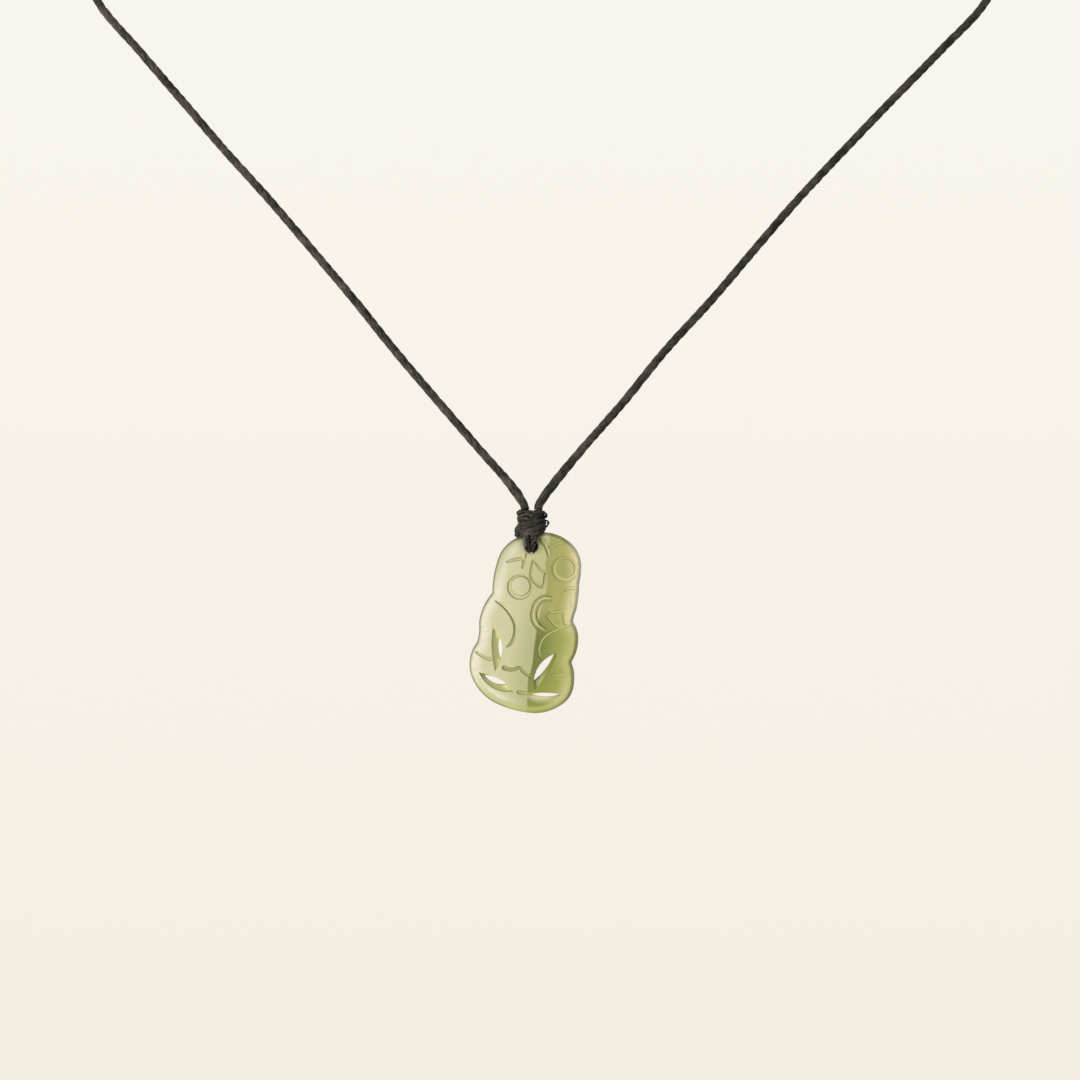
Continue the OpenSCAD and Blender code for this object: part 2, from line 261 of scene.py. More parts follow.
def makeTwistTree():  # plies laid round each line, each ply a small oval tube
    tree = bpy.data.node_groups.new("twistedPlies", "GeometryNodeTree")
    for name, kind, start in (("Lines", "Geometry", None), ("Ply Width", "Float", 0.8 * mm),
                              ("Lay Radius", "Float", 0.4 * mm), ("Pitch", "Float", 7.0 * mm),
                              ("Step", "Float", 0.5 * mm), ("Ply Count", "Int", 3), ("Sides", "Int", 8),
                              ("Seed", "Int", 3), ("Finish", "Material", None)):
        socket = tree.interface.new_socket(name, in_out="INPUT", socket_type="NodeSocket" + kind)
        if start is not None:
            socket.default_value = start
    tree.interface.new_socket("Cord", in_out="OUTPUT", socket_type="NodeSocketGeometry")
    sheet = Sheet(tree)
    given = sheet.node("NodeGroupInput")

    def drift(plan):
        noise = sheet.node("ShaderNodeTexNoise", {"noise_dimensions": "4D"}, Scale=plan["scale"], Detail=1.0,
                           W=given["Seed"] * plan["seedStep"])
        return (noise - 0.5) * plan["share"]

    even = sheet.node("GeometryNodeResampleCurve", {"mode": "LENGTH"}, Curve=given["Lines"],
                      Length=given["Step"])
    twins = sheet.node("GeometryNodeDuplicateElements", {"domain": "SPLINE"}, Geometry=even,
                       Amount=given["Ply Count"])
    ply = twins["Duplicate Index"]
    run = sheet.node("GeometryNodeSplineParameter", out="Length")
    angle = (run / given["Pitch"] + ply / given["Ply Count"] + drift(layWander)) * (2 * math.pi)
    normal, tangent = sheet.node("GeometryNodeInputNormal"), sheet.node("GeometryNodeInputTangent")
    other = sheet.vectors("CROSS_PRODUCT", tangent, normal)
    out = sheet.vectors("ADD", sheet.vectors("SCALE", normal, Scale=angle.maths("COSINE")),
                        sheet.vectors("SCALE", other, Scale=angle.maths("SINE")))
    drawn = sheet.node("GeometryNodeInputRadius")  # the line's own thickness, 1 where nothing squeezes it
    laid = sheet.node("GeometryNodeSetPosition", None, Geometry=twins,
                      Offset=sheet.vectors("SCALE", out, Scale=given["Lay Radius"] * drawn))
    laid = sheet.node("GeometryNodeStoreNamedAttribute", {"data_type": "FLOAT", "domain": "POINT"},
                      Geometry=laid, Name="run", Value=run + ply * plyShift)
    half = given["Ply Width"] * 0.5 * (drift(plySwell) + 1.0)
    sized = sheet.node("GeometryNodeSetCurveRadius", None, Curve=laid, Radius=half * drawn)
    ring = sheet.node("GeometryNodeCurvePrimitiveCircle", None, Resolution=given["Sides"], Radius=1.0)
    ring = sheet.node("GeometryNodeStoreNamedAttribute", {"data_type": "FLOAT_VECTOR", "domain": "POINT"},
                      Geometry=ring, Name="ring", Value=sheet.node("GeometryNodeInputPosition"))
    swept = sheet.node("GeometryNodeCurveToMesh", None, Curve=sized, Profile_Curve=ring, Fill_Caps=True,
                       Scale=sheet.node("GeometryNodeInputRadius"))
    real = sheet.node("GeometryNodeRealizeInstances", None, Geometry=sheet.node(
        "GeometryNodeSetShadeSmooth", None, Geometry=swept))
    painted = sheet.node("GeometryNodeSetMaterial", None, Geometry=real, Material=given["Finish"])
    sheet.node("NodeGroupOutput", None, Cord=painted)
    return tree


def twistLines(name, lines, plan, finish):  # lines in mm, with a thickness where it changes, as one mesh
    curve = bpy.data.curves.new(name + "Lines", "CURVE")
    curve.dimensions = "3D"
    for line in lines:
        spline = curve.splines.new("POLY")
        line = np.array(line)
        spline.points.add(len(line) - 1)
        spline.points.foreach_set("co", np.c_[line[:, :3] * mm, np.ones(len(line))].ravel())
        spline.points.foreach_set("radius", line[:, 3] if line.shape[1] > 3 else np.ones(len(line)))
    guide = linkObject(name + "Lines", curve)
    modifier = guide.modifiers.new("plies", "NODES")
    modifier.node_group = twistTree
    for key, value in (("Ply Width", plan["plyWidth"] * mm), ("Lay Radius", plan["layRadius"] * mm),
                       ("Pitch", plan["pitch"] * mm), ("Step", plan["step"] * mm), ("Sides", plan["sides"]),
                       ("Ply Count", plan["plies"]), ("Seed", plan["seed"]), ("Finish", finish)):
        modifier[socketId(twistTree, key)] = value
    graph = bpy.context.evaluated_depsgraph_get()
    mesh = bpy.data.meshes.new_from_object(guide.evaluated_get(graph), depsgraph=graph)
    guide.modifiers.clear()
    bpy.data.objects.remove(guide)
    mesh.name = name
    return linkObject(name, mesh)


def joinPieces(name, pieces):  # several meshes as one object
    with bpy.context.temp_override(active_object=pieces[0], selected_editable_objects=pieces,
                                   selected_objects=pieces, object=pieces[0]):
        bpy.ops.object.join()
    pieces[0].name = name
    pieces[0].data.name = name
    return pieces[0]


# Waxed cord

# worn: the lighter grey that the bight's fibres take, painted highlights
cordFinish = {"dark": (0.007, 0.006, 0.005), "pale": (0.125, 0.106, 0.090), "worn": (0.19, 0.185, 0.175),
              "wax": (0.27, 0.24, 0.21), "gloss": 0.46,
              # painted shade on the lashing's lower right, and painted shade and painted highlight streaks on
              # the bight under it, in mm from the nape
              "boundHigh": (-149.2, -147.4), "boundAcross": (-2.8, 0.2), "bightHigh": (-153.6, -152.3)}


def makeCordMaterial():
    material, sheet = newMaterial("waxedCord")
    tone = cordFinish
    along = sheet.node("ShaderNodeCombineXYZ", None, X=0.0, Y=0.0, Z=sheet.attribute("run") * 1000)
    at = sheet.vectors("ADD", sheet.attribute("ring", "Vector"), along)
    at = sheet.node("ShaderNodeMapping", None, Vector=at, Scale=(5.0, 5.0, 1.1))
    strands = sheet.clouds(at, 3.0, 0.6, 0.3)
    patches = sheet.clouds(sheet.place((0.35, 0.35, 0.35)), 3.0, 0.6)
    # patches of wear, at random
    worn = sheet.step(patches, 0.30, 0.66)
    spot = sheet.node("ShaderNodeSeparateXYZ", None, sheet.place())
    # painted shade: the lashing's lower turns darker towards the right, and the bight under them darker
    lashShade = (1 - sheet.step(spot["Z"], *tone["boundHigh"])) * sheet.step(spot["X"], *tone["boundAcross"])
    bight = 1 - sheet.step(spot["Z"], *tone["bightHigh"])
    # the bight's fibres get more contrast and a lighter grey: painted highlight streaks
    strands = strands + (strands - 0.5) * bight * 0.9
    fibre = sheet.step(strands + worn * 0.16 - lashShade * 0.11 - bight * 0.13, 0.40, 0.78)
    colour = sheet.blend(fibre, tone["dark"], sheet.blend(bight, tone["pale"], tone["worn"]))
    waxed = sheet.step(patches, 0.52, 0.75) * sheet.step(strands, 0.45, 0.75) * 0.7
    colour = sheet.blend(waxed, colour, tone["wax"])
    rough = tone["gloss"] + sheet.step(patches, 0.3, 0.7) * 0.22
    bump = sheet.node("ShaderNodeBump", None, Strength=0.55, Distance=0.00012, Height=strands)
    sheet.finish(Base_Color=colour, Roughness=rough, Normal=bump, Specular_IOR_Level=0.18)
    return material


# The route of the neck cord, from the lashing's left side round the nape to its right, in mm from the nape
cordRoute = [
    (-3.2, -130, -147.75), (-3.8, -129.5, -146.3), (-6.5, -127.3, -142.5), (-11.8, -124.4, -136.5),
    (-20, -119, -127), (-28.5, -113.5, -117), (-36.5, -107.5, -107), (-44.9, -101.2, -97),
    (-53.4, -94.5, -87), (-62.4, -87.5, -77), (-71.4, -80, -66.5), (-80.4, -72.5, -56),
    (-89.2, -64.3, -45.5), (-93.5, -53, -34), (-92.5, -40, -24.5), (-86, -27.5, -16.5),
    (-75, -17, -10.5), (-60, -9, -6), (-41, -3.5, -2.5), (0, 0, 0), (41, -3.5, -2.5),
    (60, -9, -6), (75, -17, -10.5), (86, -27.5, -16.5),
    (92.5, -40, -24.5), (93.5, -53, -34), (89.1, -64.3, -45.5), (79.5, -72.5, -56),
    (69.3, -80, -66.5), (59.3, -87.5, -77), (50, -94.5, -87), (41.4, -101.2, -97),
    (32.9, -107.5, -107), (23.8, -113.5, -117), (15.7, -119, -127), (7.4, -124.4, -136.5),
    (2.5, -127.3, -142.5), (-0.3, -129.5, -146.3), (-0.8, -130, -147.75),
]
neckCordPlan = {"plies": 5, "plyWidth": 0.76, "layRadius": 0.46, "pitch": 12.5, "step": 0.7, "sides": 8,
                "seed": 3,
                # how thick the cord is, by mm from where it leaves the lashing
                "start": [(0, 0.98), (1.5, 1.0), (3.6, 1.20), (6.0, 1.08), (10, 1.0)],
                "end": [(0, 1.05), (4, 1.08), (9, 1.12), (16, 1.0)]}
knotPlan = {"plies": 3, "plyWidth": 0.62, "layRadius": 0.29, "pitch": 5.5, "step": 0.3, "sides": 7, "seed": 9,
            "wraps": 6, "halfLength": 3.7, "radius": 1.5, "taper": 0.06, "turnSteps": 40}

twistTree = makeTwistTree()
waxedCord = makeCordMaterial()


def makeNeckCord():
    line = smoothLine(cordRoute, 1.0)
    run = np.r_[0, np.cumsum(np.linalg.norm(np.diff(line, axis=0), axis=1))]
    thick = np.interp(run, *zip(*neckCordPlan["start"]))
    thick = thick * np.interp(run[-1] - run, *zip(*neckCordPlan["end"]))
    cord = twistLines("neckCord", [np.c_[line, thick]], neckCordPlan, waxedCord)
    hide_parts("neck_cord")
    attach(cord, "cord")
    return cord, line


def makeClosingKnot():  # a barrel of turns round the cord
    plan = knotPlan
    turns = np.linspace(0, 2 * math.pi * plan["wraps"], plan["turnSteps"] * plan["wraps"] + 1)
    across = np.linspace(-plan["halfLength"], plan["halfLength"], len(turns))
    swell = 1 - plan["taper"] * (across / plan["halfLength"]) ** 2
    line = np.c_[across, plan["radius"] * swell * np.cos(turns), plan["radius"] * swell * np.sin(turns)]
    knot = twistLines("closingKnot", [line], plan, waxedCord)
    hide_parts("closing_knot")
    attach(knot, "cord")
    return knot


neckCord, neckLine = makeNeckCord()
closingKnot = makeClosingKnot()
print("neck cord", round(lineLength(neckLine), 1), "mm,", len(neckCord.data.polygons), "faces; knot",
      len(closingKnot.data.polygons))


# Lashing and hanging loop

loopPlan = {"plies": 3, "plyWidth": 0.80, "layRadius": 0.38, "pitch": 8.0, "step": 0.25, "sides": 10,
            "seed": 5}
bandPlan = {"plies": 3, "plyWidth": 0.84, "layRadius": 0.36, "pitch": 17.0, "step": 0.22, "sides": 10,
            "seed": 11}
wrapPlan = {"plies": 2, "plyWidth": 0.58, "layRadius": 0.28, "pitch": 4.6, "step": 0.2, "sides": 9,
            "seed": 17}
strandPlan = {"plies": 2, "plyWidth": 0.27, "layRadius": 0.12, "pitch": 2.2, "step": 0.12, "sides": 6,
              "seed": 21}

# The bight through the drilled hole: across, deep, up, thickness
bight = {
    "left": [(-1.10, -2.05, 5.2, 1), (-1.16, -2.05, 4.3, 1), (-1.20, -2.25, 3.2, 1.02),
             (-1.14, -2.62, 2.1, 1.04), (-0.98, -2.70, 1.2, 0.94), (-0.78, -2.58, 0.3, 0.78),
             (-0.52, -2.22, -0.44, 0.68), (-0.34, -1.35, -0.60, 0.68), (-0.30, 0, -0.62, 0.66),
             (-0.32, 1.35, -0.58, 0.70), (-0.40, 2.05, -0.60, 0.86), (-0.60, 2.60, -0.15, 0.98),
             (-0.82, 2.72, 0.9, 1), (-0.86, 2.62, 2.1, 1), (-0.84, 2.25, 3.2, 1),
             (-0.82, 2.05, 4.3, 1), (-0.80, 2.05, 5.2, 1)],
    "right": [(0.62, -2.05, 5.2, 1), (0.62, -2.05, 4.3, 1), (0.60, -2.25, 3.2, 0.96),
              (0.56, -2.62, 2.1, 0.92), (0.34, -2.66, 1.2, 0.86), (0.08, -2.46, 0.3, 0.78),
              (-0.06, -2.10, -0.48, 0.70), (0.18, -1.35, -0.46, 0.70), (0.28, 0, -0.42, 0.68),
              (0.34, 1.35, -0.50, 0.70), (0.40, 2.05, -0.60, 0.86), (0.60, 2.60, -0.15, 0.98),
              (0.82, 2.72, 0.9, 1), (0.86, 2.62, 2.1, 1), (0.84, 2.25, 3.2, 1),
              (0.82, 2.05, 4.3, 1), (0.80, 2.05, 5.2, 1)],
}

# The wound cord: degrees round the front from the left, height above the hole, how far out across and deep
lowerTurns = [
    (85, 2.50, 1.9, 2.85), (110, 2.75, 2.15, 3.15), (140, 3.15, 2.1, 3.1), (180, 3.50, 2.0, 2.8),
    (270, 2.95, 2.4, 3.0), (360, 2.52, 2.62, 2.7), (405, 2.70, 2.7, 3.3), (450, 3.32, 2.6, 3.50),
    (495, 4.05, 2.35, 3.4), (540, 4.45, 2.1, 2.8), (630, 3.90, 2.4, 3.1), (720, 3.66, 2.58, 2.8),
    (765, 3.98, 2.6, 3.3), (810, 4.62, 2.5, 3.48), (855, 5.20, 2.25, 3.3), (900, 5.45, 2.0, 2.6),
    (990, 4.95, 2.1, 2.6), (1060, 4.80, 2.05, 2.3), (1130, 4.95, 1.8, 2.2),
]
upperTurns = [
    (-80, 4.70, 2.0, 2.3), (0, 4.90, 2.15, 2.5), (90, 5.30, 2.2, 2.90), (180, 5.65, 2.15, 2.5),
    (270, 5.75, 2.1, 2.4), (360, 5.72, 2.25, 2.5), (450, 5.65, 2.2, 2.95), (540, 6.05, 2.15, 2.5),
    (630, 6.3, 2.1, 2.4), (720, 6.42, 2.25, 2.4), (765, 6.55, 2.3, 2.7), (810, 6.25, 2.2, 2.85),
    (855, 6.25, 2.2, 2.7), (900, 6.50, 2.10, 2.4), (990, 6.40, 2.0, 2.3), (1080, 5.30, 2.10, 2.6),
    (1125, 5.55, 2.2, 3.0), (1170, 5.95, 2.2, 3.1), (1215, 6.1, 2.2, 2.9), (1260, 6.0, 2.1, 2.5),
    (1340, 5.60, 1.9, 2.2),
]
turnStep = 15  # degrees between two points of a turn

# Plies that stand loose over the turns and curl out at the sides: across, deep, up
looseStrands = [
    [(-2.35, -2.2, 5.85), (-1.75, -3.0, 6.1), (-0.9, -3.4, 6.35), (0.2, -3.5, 5.85), (1.3, -3.3, 5.95),
     (2.2, -2.4, 6.35)],
    [(-2.6, -2.9, 3.2), (-2.0, -3.7, 3.2), (-1.1, -4.1, 3.75), (-0.2, -4.1, 4.4), (0.6, -3.9, 4.95),
     (1.2, -3.4, 5.3)],
    [(0.1, -4.0, 3.2), (0.8, -4.0, 3.75), (1.5, -3.7, 4.1), (2.2, -2.9, 4.35)],
    [(-2.3, -2.3, 5.45), (-1.4, -3.3, 5.55), (-0.75, -3.6, 5.2), (-0.35, -3.7, 4.7)],
    [(-0.5, -3.6, 5.35), (0.4, -3.6, 5.3), (1.2, -3.3, 5.9), (1.9, -2.8, 6.5)],
    [(-0.75, -2.8, 6.3), (-0.35, -3.1, 6.85), (0.2, -3.1, 6.85), (0.7, -3.0, 6.3)],
    [(1.5, -2.6, 6.5), (2.05, -2.6, 6.75), (2.65, -2.3, 6.5), (2.8, -2.1, 6.05), (2.6, -2.1, 5.7),
     (2.15, -2.3, 5.85)],
    [(2.1, -2.5, 4.0), (2.75, -2.3, 3.95), (3.15, -2.1, 4.4), (3.05, -2.0, 4.95), (2.6, -2.2, 5.1)],
    [(-1.7, -2.2, 6.7), (-2.15, -2.3, 7.0), (-2.62, -2.1, 6.85), (-2.72, -1.9, 6.3), (-2.35, -2.2, 5.8)],
    [(-1.9, -2.4, 6.5), (-2.2, -2.5, 6.75), (-2.45, -2.3, 6.6), (-2.5, -2.1, 6.2), (-2.2, -2.2, 5.9)],
    [(-2.2, -2.4, 5.8), (-2.65, -2.2, 5.6), (-2.6, -2.2, 5.1), (-2.2, -2.5, 4.8)],
]

# Cord that fills the left side between the turns, and its cut end: across, deep, up, thickness
tuckedEnds = [
    [(-1.2, 1.6, 3.3, 0.8), (-2.3, 0.9, 3.0, 0.9), (-2.62, -0.7, 3.05, 0.95), (-2.1, -2.2, 3.25, 0.9),
     (-0.9, -2.7, 3.6, 0.8)],
    [(-1.7, -1.8, 3.3, 0.6), (-2.4, -2.3, 2.9, 0.62), (-2.78, -2.45, 2.45, 0.6), (-2.92, -2.45, 2.1, 0.5)],
]

# The core's strands: where they stand, across and deep, and how that spreads with height above the hole
coreFeet = [(-0.8, -1.0), (-0.8, 1.0), (0.8, -1.0), (0.8, 1.0)]
coreRows = [(1, 1, 3.4), (1, 0.9, 5.0), (1.3, 0.4, 6.2), (1.4, 0, 6.9)]


def makeHangLoop():
    strands = [smoothLine(rows, 0.25) + (*hang, 0) for rows in bight.values()]
    loop = twistLines("hangLoop", strands, loopPlan, waxedCord)
    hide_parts("hang_loop")
    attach(loop, "cord")
    return loop


def woundLine(turns):  # the turns as a line in mm from the nape
    table = smoothLine(turns, turnStep)
    angle = np.radians(table[:, 0])
    return np.c_[-table[:, 2] * np.cos(angle), -table[:, 3] * np.sin(angle), table[:, 1]] + hang


def makeLashing():
    band = twistLines("lowerTurns", [woundLine(lowerTurns)], bandPlan, waxedCord)
    wraps = twistLines("upperTurns", [woundLine(upperTurns)], wrapPlan, waxedCord)
    core = []
    for across, deep in coreFeet:
        line = smoothLine([(across * wider, deep * deeper, up) for wider, deeper, up in coreRows], 0.5) + hang
        core.append(np.c_[line, np.ones(len(line))])
    core += [smoothLine(row, 0.3) + (*hang, 0) for row in tuckedEnds]
    filling = twistLines("lashCore", core, loopPlan, waxedCord)
    curls = [smoothLine(row, 0.1) + hang for row in looseStrands]
    ends = twistLines("looseStrands", curls, strandPlan, waxedCord)
    lashing = joinPieces("cordLashing", [band, wraps, filling, ends])
    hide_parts("lashing")
    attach(lashing, "cord")
    return lashing


hangLoop = makeHangLoop()
lashing = makeLashing()
print("lashing", len(lashing.data.polygons), "faces, loop", len(hangLoop.data.polygons))


# The carved stone

stoneSize = {"wide": 21.3, "high": 34.7, "belly": 4.6, "head": 3.2, "foot": 3.8, "thickest": 0.45,
             "rim": 0.9, "rimPower": 2.4, "hole": 2.4, "holeDrop": 2.75, "holeSide": 1.2,
             "lip": 0.16, "lipWide": 0.28, "bevel": 1.25}
# Steps of the mesh along the rim, by the cuts and how near that is, elsewhere, and on the back; the rings of
# points by the rim and round the drilled hole, and the least gap between two points
stoneMesh = {"edgeStep": 0.11, "fine": 0.092, "near": 0.62, "coarse": 0.24, "back": 0.26, "rimRings": 8,
             "collar": (0.07, 0.14, 0.21, 0.28), "clear": 0.05, "least": 0.012, "holeSides": 48,
             "eyeSides": 60}
# Shape of the cuts: width and depth left at their tips, how soon they are whole, where their walls start and
# how wide these are, how far the drop beside a line reaches, and the walls of the eye rings and the hollows
cutShape = {"tipWide": 0.35, "tipDeep": 0.4, "tipSteep": 8, "wallStart": 0.2, "wallWide": 0.95, "deep": 0.9,
            "dropReach": 1.1, "dropSteep": 6, "ringWall": 0.28, "hollowEdge": 0.35}

outlineArcs = [  # across in shares of half the width, up in shares of the height, then the bulge of its arc
    (-0.598, 0.668, 0.08), (-0.508, 0.843, 0.21), (-0.188, 0.967, 0.12), (0.200, 1.000, 0.20),
    (0.758, 0.957, 0.24), (1.006, 0.817, 0.06), (0.970, 0.718, 0.04), (0.920, 0.574, -0.06),
    (0.855, 0.507, 0.14), (0.950, 0.424, 0.16), (0.827, 0.283, 0.13), (0.875, 0.169, 0.27),
    (0.611, 0.040, 0.15), (0.143, 0.000, 0.10), (-0.573, 0.061, 0.20), (-0.996, 0.225, 0.22),
    (-0.876, 0.394, -0.10), (-0.840, 0.502, 0.15),
]

slotLenses = [  # hollow, the hole in it: two tips and the bulge of both sides; how softly the hollow starts
    (((-0.585, 0.478), (-0.545, 0.231), 0.36, 0.11), ((-0.47, 0.421), (-0.45, 0.303), 0.22, 0.16), 0.3),
    (((-0.85, 0.229), (-0.20, 0.119), 0.18, 0.35), ((-0.75, 0.2135), (-0.34, 0.163), 0.17, 0.31), 0.3),
    (((0.585, 0.336), (0.170, 0.125), 0.11, 0.40), ((0.515, 0.328), (0.150, 0.181), 0.13, 0.29), 0.3),
    (((-0.15, 0.118), (0.66, 0.108), 0.10, 0.46), ((0.10, 0.107), (0.632, 0.105), 0.10, 0.18), 1.2),
]

# Eyes, in mm from the stone's bottom middle: outer circle and its radius, inner circle and its radius, depth,
# rise, how bright a highlight is painted on the ring, how softly its outer edge starts, and how dark the disc
# is
eyeRings = [
    ((-1.10, 24.25), 2.40, (-0.96, 24.44), 1.80, 0.24, 0.10, 0.8, 0.28, 0),
    ((7.56, 27.68), 2.56, (7.56, 27.82), 1.80, 0.22, 0.04, 0.95, 0.9, 0.13),
]

# Engraved lines: depth, half width where they start and end, how much the ground drops beside them (right of
# the line's way is +), how bright a highlight is painted on the floor, then points in mm from the stone's
# bottom middle
engraving = [
    (0.20, 0.24, 0.40, 0.05, 0.7, [(-3.7, 29.05), (-2.3, 29.45), (-0.6, 29.75)]),  # brow
    (0.14, 0.34, 0.26, 0.00, 0.3, [(-0.25, 29.5), (-0.42, 28.6), (-0.6, 27.75)]),
    (0.14, 0.22, 0.14, 0.00, 0.2, [(0.20, 30.8), (0.12, 30.3), (0.05, 29.7)]),
    (0.24, 0.24, 0.30, 0.05, 0.5, [(1.45, 29.5), (1.15, 27.9), (1.02, 26.3), (1.75, 25.15),
                                   (3.15, 24.05)]),  # nose
    (0.22, 0.26, 0.24, 0.04, 0.5, [(3.15, 24.05), (3.58, 25.2), (3.72, 26.4), (4.1, 27.1)]),
    (0.24, 0.16, 0.36, 0.04, 0.8, [(1.45, 29.4), (2.25, 28.55), (2.95, 27.65), (4.1, 27.0)]),
    (0.26, 0.24, 0.14, 0.05, 0.2, [(2.45, 33.6), (3.4, 32.5), (3.95, 31.4), (4.3, 30.1)]),  # forehead
    (-0.05, 0.20, 0.20, 0.00, 1.0, [(2.1, 28.3), (2.8, 27.6), (3.5, 27.1)]),
    (-0.08, 0.30, 0.20, 0.00, 1.0, [(3.3, 33.6), (4.0, 32.4), (4.5, 31.2), (4.7, 30.2)]),
    (0.22, 0.22, 0.32, 0.00, 0.8, [(4.3, 31.95), (5.6, 32.3), (7.2, 32.85)]),
    (0.26, 0.22, 0.40, 0.00, 1.0, [(7.4, 23.5), (8.4, 23.95), (9.7, 24.1)]),  # cheek
    (-0.08, 0.30, 0.28, 0.00, 1.0, [(5.2, 21.9), (4.1, 22.15), (3.1, 21.9), (2.2, 21.05), (1.75, 20.1),
                                    (1.6, 19.0), (1.8, 17.8), (2.6, 16.7), (4.0, 15.85)]),  # mouth
    (0.26, 0.20, 0.22, -0.06, 0.4, [(5.25, 22.35), (4.1, 22.6), (3.1, 22.45), (1.9, 21.55), (1.35, 20.3),
                                    (1.1, 19.0), (1.33, 17.6), (2.15, 16.4), (3.8, 15.4)]),
    (0.24, 0.18, 0.20, -0.12, 0.4, [(5.2, 21.5), (4.1, 21.7), (3.15, 21.3), (2.5, 20.3), (2.2, 19.1),
                                    (2.4, 17.9), (3.1, 16.95), (4.3, 16.2)]),
    (0.26, 0.24, 0.32, 0.06, 0.9, [(4.3, 19.45), (5.5, 19.35), (6.9, 19.7), (8.0, 20.15)]),  # lips
    (0.28, 0.26, 0.34, 0.08, 0.8, [(4.05, 18.85), (4.95, 17.75), (5.8, 16.85), (6.9, 16.5)]),
    (0.24, 0.28, 0.22, 0.00, 0.9, [(7.3, 19.3), (7.35, 18.1), (7.7, 17.0)]),
    (0.28, 0.30, 0.24, 0.12, 0.9, [(9.0, 16.95), (7.33, 16.6), (5.9, 16.0), (3.85, 14.85), (2.78, 13.2),
                                   (2.62, 11.6), (3.05, 10.2)]),  # right arm
    (0.32, 0.14, 0.36, -0.14, 0.35, [(-5.9, 21.65), (-4.4, 20.5), (-3.0, 18.85), (-2.12, 17.0), (-2.12, 15.1),
                                     (-2.75, 13.5), (-3.6, 12.75)]),  # left arm
    (0.28, 0.28, 0.36, 0.08, 0.8, [(-9.5, 11.9), (-8.6, 11.18), (-7.4, 10.6), (-6.3, 10.22)]),  # hip
    (0.34, 0.46, 0.38, 0.12, 0.15, [(-4.4, 8.95), (-3.5, 8.55), (-2.54, 8.42), (-1.7, 8.6),
                                    (-1.1, 9.0)]),  # belly
    (0.26, 0.46, 0.34, 0.00, 0.5, [(-1.6, 4.1), (-0.8, 4.0), (0.2, 3.85), (1.3, 3.7)]),
    (-0.05, 0.13, 0.13, 0.00, 1.0, [(6.3, 11.6), (5.15, 9.9), (3.95, 7.85), (2.75, 5.75), (2.1, 4.5)]),
    (0.32, 0.34, 0.34, 0.12, 0.3, [(-1.1, 9.0), (-0.42, 8.05), (0.5, 7.33), (1.5, 6.95)]),
    (0.24, 0.24, 0.30, 0.00, 0.9, [(4.98, 7.35), (5.9, 7.15), (7.2, 7.6)]),  # foot
]

# Where the pale stone meets the green, from the top of the head down
seam = [(0.46, 1.05), (0.42, 0.90), (0.39, 0.86), (0.37, 0.82), (0.39, 0.76), (0.378, 0.68), (0.30, 0.60),
        (0.245, 0.52), (0.20, 0.458), (0.175, 0.40), (0.15, 0.33), (0.125, 0.265), (0.09, 0.22), (0.045, 0.18),
        (0.035, 0.10), (0.03, -0.05)]


def onFace(shares):  # shares to mm from the stone's bottom middle
    return np.array(shares, float) * (stoneSize["wide"] / 2, stoneSize["high"])


def arcPoints(a, b, bulge, steps):  # the arc from a up to b, without b
    half = np.linalg.norm(b - a) / 2
    rise = bulge * half
    radius = (half * half + rise * rise) / (2 * rise)
    way = (b - a) / np.linalg.norm(b - a)
    out = np.array([-way[1], way[0]])
    middle = (a + b) / 2 - out * (radius - rise)
    start = a - middle
    turns = [(math.cos(t), math.sin(t)) for t in -4 * math.atan(bulge) * np.arange(steps) / steps]
    return [middle + (start[0] * c - start[1] * s, start[0] * s + start[1] * c) for c, s in turns]


def closedArcs(rows, step):
    line = []
    for i, (across, up, bulge) in enumerate(rows):
        a, b = onFace((across, up)), onFace(rows[(i + 1) % len(rows)][:2])
        line += arcPoints(a, b, bulge, max(3, round(np.linalg.norm(b - a) * (1 + bulge) / step)))
    return np.array(line)


def lensLine(lens, step):
    a, b = onFace(lens[0]), onFace(lens[1])
    steps = max(6, round(np.linalg.norm(b - a) / step))
    return np.array(arcPoints(a, b, lens[2], steps) + arcPoints(b, a, lens[3], steps))


def softened(line, passes):  # eases the corners of a closed line
    for _ in range(passes):
        line = (np.roll(line, 1, 0) + 2 * line + np.roll(line, -1, 0)) / 4
    return line


def gapTo(points, line, closed):  # distance to a line, the side it lies on, and how far along it is
    starts = line if closed else line[:-1]
    ends = np.roll(line, -1, 0) if closed else line[1:]
    ways = ends - starts
    sizes = (ways ** 2).sum(1)
    best, side, along = np.zeros((3, len(points)))
    chunk = 4000  # points at a time, to spare memory
    for i in range(0, len(points), chunk):
        rows = slice(i, i + chunk)
        offset = points[rows, None, :] - starts[None]
        t = np.clip((offset * ways).sum(2) / sizes, 0, 1)
        apart = offset - ways * t[..., None]
        distance = np.hypot(apart[..., 0], apart[..., 1])
        k = distance.argmin(1)
        rowAt = np.arange(len(k))
        best[rows] = distance[rowAt, k]
        side[rows] = np.sign(offset[rowAt, k, 0] * ways[k, 1] - offset[rowAt, k, 1] * ways[k, 0])
        along[rows] = (k + t[rowAt, k]) / len(starts)
    return best, side, along


def inside(points, line):  # which points lie in a closed line
    x, y = points[:, 0], points[:, 1]
    hit = np.zeros(len(points), bool)
    for a, b in zip(line, np.roll(line, -1, 0)):
        crosses = (a[1] > y) != (b[1] > y)
        if a[1] != b[1]:
            hit ^= crosses & (x < (b[0] - a[0]) * (y - a[1]) / (b[1] - a[1]) + a[0])
    return hit


def hexGrid(step, low, high):  # rows of points, every second row moved by half a step
    xs = np.arange(low[0], high[0], step)
    zs = np.arange(low[1], high[1], step * 0.866)
    grid = np.array(np.meshgrid(xs, zs)).transpose(1, 2, 0)
    grid[1::2, :, 0] += step / 2
    return grid.reshape(-1, 2)


def ease(t):
    t = np.clip(t, 0, 1)
    return t * t * (3 - 2 * t)


